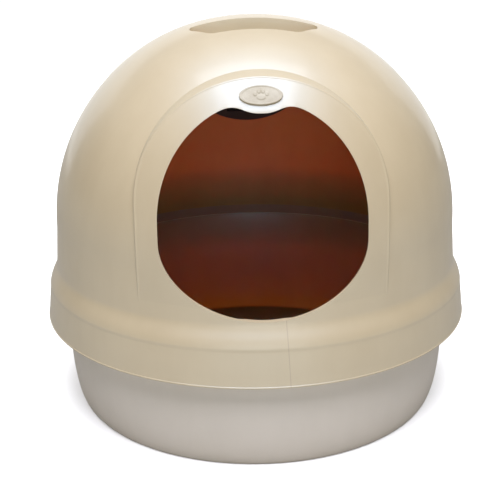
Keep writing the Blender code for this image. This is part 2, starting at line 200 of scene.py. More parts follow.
def object_from(bm, name):
    bmesh.ops.remove_doubles(bm, verts=bm.verts, dist=MERGE)
    bmesh.ops.recalc_face_normals(bm, faces=bm.faces)
    mesh = bpy.data.meshes.new(name)
    bm.to_mesh(mesh)
    bm.free()
    item = bpy.data.objects.new(name, mesh)
    bpy.context.scene.collection.objects.link(item)
    return item


def turned(name, profile, closed=False):
    """A body turned round Z from a profile of (radius, height) points."""
    bm = bmesh.new()
    verts = [bm.verts.new((r, 0.0, z)) for r, z in profile]
    edges = [bm.edges.new(pair) for pair in zip(verts, verts[1:])]
    if closed:
        edges.append(bm.edges.new((verts[-1], verts[0])))
    bmesh.ops.spin(bm, geom=verts + edges, cent=(0, 0, 0), axis=(0, 0, 1), angle=2 * pi,
                   steps=AROUND, use_merge=True)
    return object_from(bm, name)


def prism(name, outline, low, high, place):
    """An outline in a plane's own X and Y, extruded from low to high along its Z, then placed."""
    bm = bmesh.new()
    face = bm.faces.new([bm.verts.new((x, y, low)) for x, y in outline])
    made = bmesh.ops.extrude_face_region(bm, geom=[face])["geom"]
    moved = [part for part in made if isinstance(part, bmesh.types.BMVert)]
    bmesh.ops.translate(bm, vec=(0, 0, high - low), verts=moved)
    bmesh.ops.transform(bm, matrix=place, verts=bm.verts)
    return object_from(bm, name)


def loft(name, loops):
    """A closed body through equal loops of points, its first and last loop filled."""
    bm = bmesh.new()
    rings = [[bm.verts.new(point) for point in loop] for loop in loops]
    for ring, after in zip(rings, rings[1:]):
        for i in range(len(ring)):
            j = (i + 1) % len(ring)
            bm.faces.new((ring[i], ring[j], after[j], after[i]))
    bm.faces.new(rings[0])
    bm.faces.new(rings[-1])
    return object_from(bm, name)


def combine(item, other, operation):
    """Apply an exact Boolean to item and remove the other object."""
    modifier = item.modifiers.new(operation.title(), "BOOLEAN")
    modifier.operation = operation
    modifier.solver = "EXACT"
    modifier.object = other
    graph = bpy.context.evaluated_depsgraph_get()
    mesh = bpy.data.meshes.new_from_object(item.evaluated_get(graph))
    item.modifiers.clear()
    old = item.data
    item.data = mesh
    bpy.data.meshes.remove(old)
    bpy.data.objects.remove(other, do_unlink=True)
    return item


def smooth(item, angle=SMOOTH_ANGLE):
    """Clean up the facets, shade them smooth and keep the true edges sharp."""
    bm = bmesh.new()
    bm.from_mesh(item.data)
    bmesh.ops.remove_doubles(bm, verts=bm.verts, dist=MERGE)
    bmesh.ops.dissolve_degenerate(bm, edges=bm.edges, dist=MERGE)
    bm.to_mesh(item.data)
    bm.free()
    item.data.shade_smooth()
    item.data.set_sharp_from_angle(angle=angle)
    return item


def ellipse_arc(centre, reach, start, end, steps):
    angles = [start + (end - start) * i / steps for i in range(steps + 1)]
    return [(centre[0] + reach[0] * cos(a), centre[1] + reach[1] * sin(a)) for a in angles]


def bezier(a, b, c, d, steps):
    """Points of a cubic curve after its first point a."""
    points = []
    for i in range(1, steps + 1):
        t = i / steps
        s = 1 - t
        weights = (s ** 3, 3 * s * s * t, 3 * s * t * t, t ** 3)
        points.append(tuple(sum(w * p[k] for w, p in zip(weights, (a, b, c, d))) for k in (0, 1)))
    return points


def between(a, b, steps):
    """Evenly spaced points from a to b, without a itself."""
    return [tuple(a[k] + (b[k] - a[k]) * i / steps for k in (0, 1)) for i in range(1, steps + 1)]


def round_corners(points, radius, steps):
    """A closed outline with a small curve in place of each corner."""
    outline = []
    for i, point in enumerate(points):
        here = Vector(point)
        before = Vector(points[i - 1]) - here
        after = Vector(points[(i + 1) % len(points)]) - here
        start = here + before.normalized() * radius
        end = here + after.normalized() * radius
        for k in range(steps + 1):
            t = k / steps
            outline.append(tuple((1 - t) ** 2 * start + 2 * t * (1 - t) * here + t * t * end))
    return outline


# ---------------------------------------------------------------- hood

def crown_height(radius, ball):
    """Height of a ball's surface over the dome's widest level, flatter near the top."""
    return sqrt(max(ball * ball - radius * radius, 0.0)) - CROWN_DROP * exp(-(radius / CROWN_SPREAD) ** 2)


def dome_curve(ball):
    """Profile of the dome from its top to its widest level."""
    radii = [ball * sin(pi / 2 * i / DOME_STEPS) for i in range(DOME_STEPS)]
    return [(r, DOME_Z + crown_height(r, ball)) for r in radii] + [(ball, DOME_Z)]


def skirt_curve(inset):
    """Profile of the wall, shoulder and skirt, inset from the outside."""
    wall_foot = (DOME_RADIUS + WALL_DRAFT - inset, PAN_HEIGHT + SHOULDER_RISE)
    skirt_top = (SHOULDER_RADIUS - inset, PAN_HEIGHT - SHOULDER_DIP)
    lean = (skirt_top[1] - wall_foot[1]) / 3
    first = (wall_foot[0] + WALL_DRAFT / 5, wall_foot[1] + lean)
    second = (skirt_top[0] - WALL_DRAFT / 2, skirt_top[1] - lean * SHOULDER_PULL)
    edge = (SKIRT_RADIUS - inset, SKIRT_Z)
    middle = ((skirt_top[0] + edge[0]) / 2 + SKIRT_BOW, (skirt_top[1] + edge[1]) / 2)
    wall = between((DOME_RADIUS - inset, DOME_Z), wall_foot, WALL_STEPS)
    shoulder = bezier(wall_foot, first, second, skirt_top, SHOULDER_STEPS)
    skirt = bezier(skirt_top, middle, middle, edge, WALL_STEPS)
    return wall + shoulder + skirt


def build_dome_solid():
    """The hood's outside as one solid, with a small bead along the skirt's lower edge."""
    outside = skirt_curve(0)
    wall = [(r, z) for r, z in outside if z > PAN_HEIGHT]
    bead_top = SKIRT_Z + 2 * BEAD_RADIUS
    skirt = [(r - BEAD_STAND, z) for r, z in outside if bead_top < z <= PAN_HEIGHT]
    bead = ellipse_arc((SKIRT_RADIUS - BEAD_RADIUS, SKIRT_Z + BEAD_RADIUS), (BEAD_RADIUS, BEAD_RADIUS),
                       BEAD_START, -pi / 2, BEAD_STEPS)
    profile = dome_curve(DOME_RADIUS) + wall + skirt + bead + [(0.0, SKIRT_Z)]
    return turned("hood_shell", profile)


def build_dome_void():
    """The space inside the dome and its seat ring."""
    seat_top = PAN_HEIGHT + SHOULDER_RISE - WALL
    wall = between((INNER_RADIUS, DOME_Z), (SEAT_RADIUS, seat_top), INNER_WALL_STEPS)
    seat = between((SEAT_RADIUS, seat_top), (SEAT_RADIUS, SKIRT_Z - WALL), SEAT_STEPS)
    return turned("dome_void", dome_curve(INNER_RADIUS) + wall + seat + [(0.0, SKIRT_Z - WALL)])


def build_skirt_channel():
    """The ring-shaped space between the seat ring and the skirt, and below the seat."""
    outer = skirt_curve(WALL)
    seat_outside = SEAT_RADIUS + SEAT_WALL
    top = PAN_HEIGHT + SHOULDER_RISE - WALL
    low = SKIRT_Z - WALL
    seat = PAN_HEIGHT + FIT
    wall = [(r, z) for r, z in outer if z < top]
    wall[-1] = (wall[-1][0], low)
    ring = [(seat_outside, top), (wall[0][0], top)] + wall
    ring += [(SEAT_RADIUS - WALL, low), (SEAT_RADIUS - WALL, seat), (seat_outside, seat)]
    return turned("skirt_channel", ring, closed=True)


FRONT = Matrix.Rotation(pi / 2, 4, "X")    # a plane's X, Y, Z become X, Z, -Y


def panel_radius(height, inset=0.0):
    """Radius of the raised panel's surface at a height."""
    radius = PANEL_RADIUS - inset
    if height <= DOME_Z:
        return radius
    return radius * sqrt(max(1 - ((height - DOME_Z) / (PANEL_HEIGHT - inset)) ** 2, 0.0))


def arch_outline(inset):
    """Outline of the entry panel in X and height, in small steps all round."""
    reach = (PANEL_HALF_WIDTH - inset, PANEL_ARCH - inset)
    foot = PANEL_FOOT + inset
    outline = ellipse_arc((0.0, PANEL_SPRING), reach, 0, pi, ARCH_STEPS)
    outline += between((-reach[0], PANEL_SPRING), (-reach[0], foot), ARCH_SIDE_STEPS)
    outline += between((-reach[0], foot), (reach[0], foot), ARCH_BASE_STEPS)
    outline += between((reach[0], foot), (reach[0], PANEL_SPRING), ARCH_SIDE_STEPS)[:-1]
    return outline


def outline_normals(outline):
    """Directions that point out of an outline, one for each of its points."""
    normals = []
    for i in range(len(outline)):
        before = Vector(outline[i - 1])
        after = Vector(outline[(i + 1) % len(outline)])
        along = (after - before).normalized()
        normals.append((along.y, -along.x))
    return normals


def build_panel_solid():
    """The raised panel as a closed body: filled front, rounded edge and sides that lean out to the back."""
    outline = arch_outline(0.0)
    normals = outline_normals(outline)
    edge = PANEL_ROUND
    trimmed = [(x - n[0] * edge, z - n[1] * edge) for (x, z), n in zip(outline, normals)]

    def front(x, z):
        radius = panel_radius(z)
        return -sqrt(max(radius * radius - x * x, 0.0))

    loops = []
    for share in [i / PANEL_RINGS for i in range(1, PANEL_RINGS)] + [PANEL_LAST_RING]:
        loop = [(x * share, PANEL_MIDDLE + (z - PANEL_MIDDLE) * share) for x, z in trimmed]
        loops.append([(x, front(x, z), z) for x, z in loop])
    for k in range(PANEL_ROUND_STEPS + 1):
        turn = pi / 2 * k / PANEL_ROUND_STEPS
        inward = edge * (1 - sin(turn))
        back = edge * (1 - cos(turn)) * PANEL_ROUND_DEPTH
        loops.append([(x - n[0] * inward, front(*flat) + back, z - n[1] * inward)
                      for (x, z), n, flat in zip(outline, normals, trimmed)])
    for k in range(1, PANEL_SIDE_RINGS + 1):
        loop = []
        for (x, z), n, flat in zip(outline, normals, trimmed):
            start = front(*flat) + edge * PANEL_ROUND_DEPTH
            y = start + (-PANEL_BACK - start) * k / PANEL_SIDE_RINGS
            out = (y - start) * PANEL_DRAFT
            loop.append((x + n[0] * out, y, z + n[1] * out))
        loops.append(loop)
    return loft("panel", loops)


def build_panel_void():
    """The space behind the panel, one wall in from its front and its sides."""
    foot = PANEL_FOOT + WALL
    height = PANEL_HEIGHT - WALL
    levels = [DOME_Z + height * sin(pi / 2 * i / DOME_STEPS) for i in range(DOME_STEPS)]
    curve = [(panel_radius(z, WALL), z) for z in levels]
    profile = [(0.0, foot), (PANEL_RADIUS - WALL, foot)] + curve + [(0.0, DOME_Z + PANEL_HEIGHT - WALL)]
    body = turned("panel_void", profile)
    arch = prism("arch", arch_outline(WALL), PANEL_BACK, FAR, FRONT)
    return combine(body, arch, "INTERSECT")


def door_outline():
    """Outline of the entry: two part-ellipses, with a dip between two ears at the top."""
    low_reach = (DOOR_HALF_WIDTH, DOOR_LOW_CURVE)
    high_reach = (DOOR_HALF_WIDTH, DOOR_HIGH_CURVE)
    low = ellipse_arc((0.0, DOOR_LOW_CENTRE), low_reach, pi, 2 * pi, DOOR_LOW_STEPS)
    high = ellipse_arc((0.0, DOOR_HIGH_CENTRE), high_reach, 0, pi, DOOR_HIGH_STEPS)
    return low + [(x, z - DOOR_DIP * exp(-(abs(x) / DOOR_DIP_WIDTH) ** DOOR_DIP_POWER)) for x, z in high]


def pocket_outline(side, grow):
    """Outline of a finger pocket seen from above; side is -1 for the front one."""
    near = STRAP_HALF_WIDTH - grow
    far = STRAP_HALF_WIDTH + POCKET_REACH + grow
    bend = STRAP_HALF_WIDTH + POCKET_SHOULDER
    long_half = POCKET_HALF_LENGTH + grow
    short_half = POCKET_FRONT_HALF_LENGTH + grow / 2
    corners = [(long_half, near), (long_half, bend), (short_half, far),
               (-short_half, far), (-long_half, bend), (-long_half, near)]
    return [(x, side * y) for x, y in round_corners(corners, POCKET_CORNER, POCKET_CORNER_STEPS)]


def filter_place():
    """The filter's own frame: X across, Y up the rear wall, Z out through the wall."""
    out = Vector((0, cos(FILTER_ELEVATION), sin(FILTER_ELEVATION)))
    up = Vector((0, -out.z, out.y))
    place = Matrix((Vector((1, 0, 0)), up, out)).transposed().to_4x4()
    place.translation = Vector((0, 0, DOME_Z)) + out * sqrt(INNER_RADIUS ** 2 - FILTER_RING_RADIUS ** 2)
    return place


def hinge_place():
    """The hinge's own frame: X into the box, Y up the rear wall, Z along the hinge axis."""
    return filter_place() @ Matrix.Translation((0, HINGE_UP, HINGE_IN)) @ Matrix.Rotation(pi / 2, 4, "Y")


def circle(radius, steps):
    return [(radius * cos(2 * pi * i / steps), radius * sin(2 * pi * i / steps)) for i in range(steps)]


def leave_in_void(void):
    """Keep pocket tubs, filter ring and hinge lugs out of the space cut from the dome."""
    for side in (-1, 1):
        tub = prism("tub", pocket_outline(side, POCKET_WALL), POCKET_FLOOR_Z - POCKET_WALL, TOP_Z + WALL,
                    Matrix())
        combine(void, tub, "DIFFERENCE")
    place = filter_place()
    ring = prism("ring", circle(FILTER_RING_RADIUS, RING_STEPS), -FILTER_RING_DEPTH, 2 * WALL, place)
    bore_outline = circle(FILTER_RING_RADIUS - FILTER_RING_WALL, RING_STEPS)
    bore = prism("bore", bore_outline, -2 * FILTER_RING_DEPTH, 3 * WALL, place)
    combine(void, combine(ring, bore, "DIFFERENCE"), "DIFFERENCE")
    leave_lugs(void)


def leave_lugs(void):
    """Keep the two hinge lugs, bored for the pin, out of the space cut from the dome."""
    place = hinge_place()
    wall_side = HINGE_IN - 2 * WALL
    outline = ellipse_arc((0.0, 0.0), (LUG_REACH, LUG_REACH), -pi / 2, pi / 2, HINGE_STEPS)
    outline += [(wall_side, LUG_REACH), (wall_side, -LUG_REACH)]
    inner = KNUCKLE_HALF_LENGTH + LUG_GAP
    for side in (-1, 1):
        low, high = sorted((side * inner, side * (inner + LUG_THICKNESS)))
        lug = prism("lug", outline, low, high, place)
        pin_bore = prism("pin_bore", circle(PIN_BORE, HINGE_STEPS), -PIN_BORE_HALF_LENGTH,
                         PIN_BORE_HALF_LENGTH, place)
        combine(lug, pin_bore, "DIFFERENCE")
        combine(void, lug, "DIFFERENCE")


def cut_holes(hood):
    """Cut the finger pockets and the vent slots."""
    for side in (-1, 1):
        pocket = prism("pocket", pocket_outline(side, 0.0), POCKET_FLOOR_Z, TOP_Z + WALL, Matrix())
        combine(hood, pocket, "DIFFERENCE")
    place = filter_place()
    end = VENT_SLOT / 2
    for i in range(VENT_COUNT):
        x = (i - (VENT_COUNT - 1) / 2) * VENT_PITCH
        half = sqrt(VENT_RADIUS ** 2 - x * x)
        slot = ellipse_arc((x, half - end), (end, end), 0, pi, VENT_END_STEPS)
        slot += ellipse_arc((x, end - half), (end, end), pi, 2 * pi, VENT_END_STEPS)
        combine(hood, prism("slot", slot, -WALL, VENT_REACH, place), "DIFFERENCE")


def soften_door_edge(hood):
    """Round the entry's outer edge."""
    bm = bmesh.new()
    bm.from_mesh(hood.data)
    bmesh.ops.remove_doubles(bm, verts=bm.verts, dist=MERGE)
    bmesh.ops.dissolve_degenerate(bm, edges=bm.edges, dist=SLIVER)
    rim = []
    for edge in bm.edges:
        middle = (edge.verts[0].co + edge.verts[1].co) / 2
        reach = sqrt(middle.x ** 2 + middle.y ** 2)
        on_panel = middle.y < 0 and abs(reach - panel_radius(middle.z)) < WALL / 8
        if on_panel and len(edge.link_faces) == 2 and edge.calc_face_angle(0.0) > DOOR_EDGE_ANGLE:
            if PANEL_FOOT < middle.z < DOME_Z + BADGE_RISE:
                rim.append(edge)
    bmesh.ops.bevel(bm, geom=rim, offset=DOOR_EDGE_ROUND, offset_type="OFFSET",
                    segments=DOOR_EDGE_SEGMENTS, profile=0.5, affect="EDGES", clamp_overlap=True)
    bm.to_mesh(hood.data)
    bm.free()


def build_hood():
    void = build_dome_void()
    leave_in_void(void)
    hood = build_dome_solid()
    combine(hood, build_panel_solid(), "UNION")
    combine(hood, void, "DIFFERENCE")
    combine(hood, build_panel_void(), "DIFFERENCE")
    combine(hood, build_skirt_channel(), "DIFFERENCE")
    combine(hood, prism("door", door_outline(), PANEL_HALF_WIDTH, FAR, FRONT), "DIFFERENCE")
    cut_holes(hood)
    soften_door_edge(hood)
    return smooth(hood)


# ---------------------------------------------------------------- pan

def pan_wall(height, inset):
    """Radius of the pan's wall at a height, inset from the outside."""
    rise = (height - PAN_CORNER_HEIGHT) / (PAN_HEIGHT - PAN_CORNER_HEIGHT)
    return PAN_MOUTH + WALL - inset - PAN_FLARE * (1 - rise * rise)


def build_pan():
    """The pan as one turned wall: outside, turned-down lip, mouth and inside."""
    rim_under = PAN_HEIGHT - WALL
    rise = rim_under - PAN_CORNER_HEIGHT
    levels = [PAN_CORNER_HEIGHT + rise * i / PAN_WALL_STEPS for i in range(1, PAN_WALL_STEPS + 1)]
    foot = pan_wall(PAN_CORNER_HEIGHT, 0) - PAN_CORNER_REACH
    corner = (foot, PAN_CORNER_HEIGHT)
    outside = [(0.0, 0.0)] + between((0.0, 0.0), (foot, 0.0), PAN_FLOOR_STEPS)[:-1]
    outside += ellipse_arc(corner, (PAN_CORNER_REACH, PAN_CORNER_HEIGHT), -pi / 2, 0, PAN_CORNER_STEPS)
    outside += [(pan_wall(z, 0), z) for z in levels]
    lip_inside = PAN_RIM_RADIUS - PAN_LIP_WALL
    lip_low = PAN_HEIGHT - PAN_LIP_DROP
    rim = [(lip_inside, rim_under), (lip_inside, lip_low), (PAN_RIM_RADIUS, lip_low)]
    rim += ellipse_arc((PAN_RIM_RADIUS - PAN_RIM_ROUND, PAN_HEIGHT - PAN_RIM_ROUND),
                       (PAN_RIM_ROUND, PAN_RIM_ROUND), 0, pi / 2, PAN_RIM_STEPS)
    mouth = pan_wall(PAN_HEIGHT, WALL)
    inside = ellipse_arc((mouth + PAN_EDGE_ROUND, PAN_HEIGHT - PAN_EDGE_ROUND),
                         (PAN_EDGE_ROUND, PAN_EDGE_ROUND), pi / 2, pi, PAN_MOUTH_STEPS)
    inside += [(pan_wall(z, WALL), z) for z in reversed(levels[:-1])]
    inside += ellipse_arc(corner, (PAN_CORNER_REACH - WALL, PAN_CORNER_HEIGHT - WALL), 0, -pi / 2,
                          PAN_INNER_CORNER_STEPS)
    inside += between((foot, WALL), (0.0, WALL), PAN_FLOOR_STEPS)
    return smooth(turned("pan_shell", outside + rim + inside))


# ---------------------------------------------------------------- badge

def badge_place():
    """The badge's own frame: X across, Y up the panel, Z out of it."""
    slope = panel_radius(DOME_Z + BADGE_RISE)
    lean = Vector((slope / PANEL_RADIUS ** 2, BADGE_RISE / PANEL_HEIGHT ** 2)).normalized()
    up = Vector((0, lean.y, lean.x))
    out = Vector((0, -lean.x, lean.y))
    place = Matrix((Vector((1, 0, 0)), up, out)).transposed().to_4x4()
    place.translation = Vector((0, -slope, DOME_Z + BADGE_RISE))
    return place


# Centre and half sizes of each pad, in the badge's own plane
PAW_PADS = ((0.0, -0.0028, 0.0046, 0.0030),
            (-0.0062, 0.0010, 0.0018, 0.0024),
            (-0.0022, 0.0042, 0.0018, 0.0025),
            (0.0022, 0.0042, 0.0018, 0.0025),
            (0.0062, 0.0010, 0.0018, 0.0024))
PAW_SHARPNESS = 12
BADGE_DISH_SHARPNESS = 120


def paw_height(x, y):
    """Relief of a plain paw print: a main pad and four toes."""
    rise = 0.0
    for cx, cy, rx, ry in PAW_PADS:
        d = ((x - cx) / rx) ** 2 + ((y - cy) / ry) ** 2
        rise = max(rise, 1 / (1 + exp((sqrt(d) - 1) * PAW_SHARPNESS)))
    return rise * PAW_RELIEF


BADGE_BACK_RINGS = 4
BADGE_BACK_INNER = 0.9     # the back's innermost ring is this much smaller than the badge
BADGE_FACE = 0.93          # the face's outermost ring, as a share of the badge's size
BADGE_SIDE_LIFTS = (0.35, 0.7)
SAG_ROUNDS = 6


def build_badge():
    """An oval plate that follows the panel, with a rounded edge, a dished face and a paw print."""
    place = badge_place()
    upright = place.inverted()
    ring = circle(1.0, BADGE_STEPS)

    def sag(x, y):
        """How far the panel's surface has dropped away below the badge's own plane."""
        point = place @ Vector((x, y, 0))
        for _ in range(SAG_ROUNDS):
            gap = sqrt(point.x ** 2 + point.y ** 2) - panel_radius(point.z)
            point = place @ Vector((x, y, (upright @ point).z - gap))
        return (upright @ point).z

    def at(x, y, lift):
        return tuple(place @ Vector((x, y, sag(x, y) + lift)))

    def oval(trim, lift):
        """The badge's outline, smaller all round by trim, at a lift over the panel."""
        return [at(x * (BADGE_HALF_WIDTH - trim), y * (BADGE_HALF_HEIGHT - trim), lift) for x, y in ring]

    loops = []
    for k in range(BADGE_BACK_RINGS, -1, -1):
        share = 1 - k / BADGE_BACK_RINGS * BADGE_BACK_INNER
        loops.append([at(x * BADGE_HALF_WIDTH * share, y * BADGE_HALF_HEIGHT * share, FIT) for x, y in ring])
    for lift in BADGE_SIDE_LIFTS:
        loops.append(oval(0.0, FIT + (BADGE_THICKNESS - FIT) * lift))
    for k in range(1, BADGE_EDGE_STEPS + 1):
        turn = pi / 2 * k / BADGE_EDGE_STEPS
        loops.append(oval(BADGE_EDGE_ROUND * (1 - cos(turn)),
                          BADGE_THICKNESS - BADGE_EDGE_ROUND * (1 - sin(turn))))
    for i in range(BADGE_RINGS, 0, -1):
        share = i / BADGE_RINGS * BADGE_FACE
        dish = BADGE_DISH / (1 + exp((share - BADGE_BORDER) * BADGE_DISH_SHARPNESS))
        loop = []
        for x, y in ring:
            px = x * BADGE_HALF_WIDTH * share
            py = y * BADGE_HALF_HEIGHT * share
            loop.append(at(px, py, BADGE_THICKNESS - dish + paw_height(px, py)))
        loops.append(loop)
    return smooth(loft("badge_plate", loops), BADGE_SMOOTH_ANGLE)


# ---------------------------------------------------------------- materials

def tone(red, green, blue):
    """A colour given as screen values from 0 to 255, as linear light."""
    shares = [value / 255 for value in (red, green, blue)]
    linear = [v / 12.92 if v <= 0.04045 else ((v + 0.055) / 1.055) ** 2.4 for v in shares]
    return (*linear, 1.0)


class Recipe:
    """A small helper to write a node material line by line."""

    def __init__(self, name):
        self.material = bpy.data.materials.new(name)
        self.material.use_nodes = True
        self.tree = self.material.node_tree
        self.shader = self.tree.nodes["Principled BSDF"]
        self.place = self.add("ShaderNodeTexCoord").outputs["Object"]

    def add(self, kind, **settings):
        node = self.tree.nodes.new(kind)
        for key, value in settings.items():
            setattr(node, key, value)
        return node

    def join(self, output, socket):
        self.tree.links.new(output, socket)

    def noise(self, scale, detail=4.0, roughness=0.5, stretch=(1, 1, 1)):
        mapping = self.add("ShaderNodeMapping")
        mapping.inputs["Scale"].default_value = stretch
        self.join(self.place, mapping.inputs["Vector"])
        node = self.add("ShaderNodeTexNoise")
        node.inputs["Scale"].default_value = scale
        node.inputs["Detail"].default_value = detail
        node.inputs["Roughness"].default_value = roughness
        self.join(mapping.outputs["Vector"], node.inputs["Vector"])
        return node.outputs["Fac"]

    def ramp(self, value, stops):
        node = self.add("ShaderNodeValToRGB")
        elements = node.color_ramp.elements
        while len(elements) < len(stops):
            elements.new(0.5)
        for element, (position, colour) in zip(elements, stops):
            element.position = position
            element.color = colour
        self.join(value, node.inputs["Fac"])
        return node.outputs["Color"]

    def mix(self, factor, first, second, mode="MIX"):
        node = self.add("ShaderNodeMix", data_type="RGBA", blend_type=mode)
        sockets = {s.identifier: s for s in node.inputs}
        for key, value in (("Factor_Float", factor), ("A_Color", first), ("B_Color", second)):
            if isinstance(value, bpy.types.NodeSocket):
                self.join(value, sockets[key])
            else:
                sockets[key].default_value = value
        return next(s for s in node.outputs if s.identifier == "Result_Color")

    def math(self, operation, first, second=0.0, clamp=False):
        node = self.add("ShaderNodeMath", operation=operation, use_clamp=clamp)
        for socket, value in ((node.inputs[0], first), (node.inputs[1], second)):
            if isinstance(value, bpy.types.NodeSocket):
                self.join(value, socket)
            else:
                socket.default_value = value
        return node.outputs[0]

    def spread(self, value, low, high):
        """Map 0..1 to low..high."""
        node = self.add("ShaderNodeMapRange")
        node.inputs["To Min"].default_value = low
        node.inputs["To Max"].default_value = high
        self.join(value, node.inputs["Value"])
        return node.outputs["Result"]

    def bump(self, height, strength, distance):
        node = self.add("ShaderNodeBump")
        node.inputs["Strength"].default_value = strength
        node.inputs["Distance"].default_value = distance
        self.join(height, node.inputs["Height"])
        self.join(node.outputs["Normal"], self.shader.inputs["Normal"])

    def set(self, **values):
        for key, value in values.items():
            socket = self.shader.inputs[key.replace("_", " ")]
            if isinstance(value, bpy.types.NodeSocket):
                self.join(value, socket)
            else:
                socket.default_value = value
        return self.material


PEARL_IOR = 1.8
PEARL_LEVEL = 0.95
PEARL_TINT = (0.40, 0.72, 1.0, 1.0)
INSIDE_LEVEL = 0.3                     # the insides shine less than the outsides
WALL_GLOW_DEPTH = 0.008                # how far light spreads inside the thin wall
WALL_GLOW_COLOUR = (1.0, 0.6, 0.3)
STREAK_STRETCH = (1.0, 1.0, 0.22)      # flow streaks run up and down
WELD_X = 0.0229
WELD_TOP = 0.193
WELD_LEAN = 0.055
WELD_HALF_WIDTH = 0.0007
WELD_FRONT = -0.2                      # the line is only on what lies in front of this Y
WELD_STRENGTH = 0.35


def pearl_plastic(name, light, dark, roughness=(0.40, 0.52), coat=0.35, weld=False, glow=0.0,
                  level=PEARL_LEVEL):
    """Moulded pearl plastic: flow streaks and clouds in the colour, a fine grain in the surface."""
    recipe = Recipe(name)
    clouds = recipe.math("MULTIPLY", recipe.noise(9.0, 5.0, 0.55), 0.6)
    streaks = recipe.math("MULTIPLY", recipe.noise(26.0, 6.0, 0.6, STREAK_STRETCH), 0.4)
    colour = recipe.ramp(recipe.math("ADD", clouds, streaks), [(0.35, dark), (0.65, light)])
    if weld:
        colour = add_weld_line(recipe, colour)
    grain = recipe.noise(900.0, 3.0, 0.6)
    ripple = recipe.noise(38.0, 2.0, 0.5)
    height = recipe.math("ADD", recipe.math("MULTIPLY", grain, 0.5), ripple)
    recipe.bump(height, strength=0.06, distance=0.0006)
    sheen = recipe.spread(recipe.noise(120.0, 4.0, 0.6), *roughness)
    return recipe.set(Base_Color=colour, Roughness=sheen, Coat_Weight=coat, Coat_Roughness=0.14,
                      Specular_IOR_Level=level, IOR=PEARL_IOR, Specular_Tint=PEARL_TINT,
                      Subsurface_Weight=glow, Subsurface_Scale=WALL_GLOW_DEPTH,
                      Subsurface_Radius=WALL_GLOW_COLOUR)


def add_weld_line(recipe, colour):
    """A faint dark knit line in the front wall, from the entry down to the skirt's edge."""
    axes = recipe.add("ShaderNodeSeparateXYZ")
    recipe.join(recipe.place, axes.inputs[0])
    drop = recipe.math("SUBTRACT", WELD_TOP, axes.outputs["Z"])
    line = recipe.math("ADD", recipe.math("MULTIPLY", drop, WELD_LEAN), WELD_X)
    away = recipe.math("ABSOLUTE", recipe.math("SUBTRACT", axes.outputs["X"], line))
    near = recipe.math("SUBTRACT", 1.0, recipe.math("DIVIDE", away, WELD_HALF_WIDTH), clamp=True)
    below = recipe.math("GREATER_THAN", drop, 0.0)
    front = recipe.math("LESS_THAN", axes.outputs["Y"], WELD_FRONT)
    mask = recipe.math("MULTIPLY", recipe.math("MULTIPLY", near, below), front)
    return recipe.mix(recipe.math("MULTIPLY", mask, WELD_STRENGTH), colour, tone(150, 110, 70))


def badge_plastic():
    """Matt ivory plastic with a fine sparked grain."""
    recipe = Recipe("badge_plastic_fine")
    colour = recipe.ramp(recipe.noise(60.0, 5.0, 0.6),
                         [(0.35, tone(184, 175, 152)), (0.65, tone(200, 193, 172))])
    recipe.bump(recipe.noise(1600.0, 2.0, 0.6), 0.25, 0.0004)
    return recipe.set(Base_Color=colour, Roughness=recipe.spread(recipe.noise(300.0), 0.42, 0.58))


def carbon_foam():
    """Black open foam: a coarse, uneven surface with no shine."""
    recipe = Recipe("carbon_foam_fine")
    colour = recipe.ramp(recipe.noise(700.0, 6.0, 0.7),
                         [(0.35, tone(16, 16, 18)), (0.7, tone(58, 56, 55))])
    recipe.bump(recipe.noise(900.0, 6.0, 0.7), 0.8, 0.0015)
    return recipe.set(Base_Color=colour, Roughness=recipe.spread(recipe.noise(400.0), 0.85, 1.0))


# ---------------------------------------------------------------- the object

HOOD_SURFACES = (
    pearl_plastic("hood_pearl", tone(224, 205, 166), tone(217, 197, 157), weld=True),
    # The hood's insides take a darker, more orange copy of its plastic: painted shade with a painted glow
    # tint, on top of the real glow from subsurface scattering.
    pearl_plastic("hood_inside_painted_shade", tone(212, 168, 112), tone(203, 158, 102), (0.4, 0.55), 0.05,
                  glow=1.0, level=INSIDE_LEVEL),
    # The band low inside the hood is painted shade: a still darker, greyer copy of the plastic.
    pearl_plastic("seat_band_painted_shade", tone(202, 166, 152), tone(194, 158, 144), (0.4, 0.55), 0.05,
                  glow=1.0, level=INSIDE_LEVEL))
PAN_SURFACES = (
    # The pan's outside is partly its own paler tone and partly painted light: it is raised further to stand
    # in for light bounced from the floor.
    pearl_plastic("pan_pearl_painted_bounce", tone(250, 238, 221), tone(243, 231, 213), (0.42, 0.55), 0.05),
    # The pan's inside is painted shade: a darker copy of the pan's plastic.
    pearl_plastic("pan_inside_painted_shade", tone(198, 174, 152), tone(190, 166, 144), (0.35, 0.5), 0.1, glow=1.0))
# The second and third materials are painted shade for the insides and the low band.
OUTSIDE, SHADED_INSIDE, SHADED_SEAT_BAND = 0, 1, 2   # places of the hood's materials in its list

SHADE_BAND_TOP = PAN_HEIGHT + 0.0195         # top of the band inside that is painted darker as shade, where the seat ring and skirt let less light through the wall
FACES_IN = -0.3                        # a face turned inward by more than this looks into the box
TURNED_OUT = 0.2
TURNED_DOWN = -0.5
SKIN = 0.001                           # allowance for facets when a face is placed inside or outside


def give(item, materials):
    item.data.materials.clear()
    for material in materials:
        item.data.materials.append(material)


def hood_surface(face):
    """Which of the hood's materials a face takes: the outside, the inside with painted shade, or the low
    band inside with darker painted shade.
    """
    x, y, z = face.center
    over = max(z - DOME_Z, 0.0)
    reach = sqrt(x * x + y * y)
    ball = sqrt(reach * reach + over ** 2)
    facing = face.normal.dot(Vector((x, y, over)).normalized())
    behind_panel = y < 0 and z > PANEL_FOOT and reach < panel_radius(z, WALL) + WALL / 4
    within = ball < INNER_RADIUS + WALL / 4 or behind_panel
    deep = ball < INNER_RADIUS - WALL and z < POCKET_FLOOR_Z
    if not within or (facing >= FACES_IN and not deep):
        return OUTSIDE
    return SHADED_SEAT_BAND if z < SHADE_BAND_TOP else SHADED_INSIDE


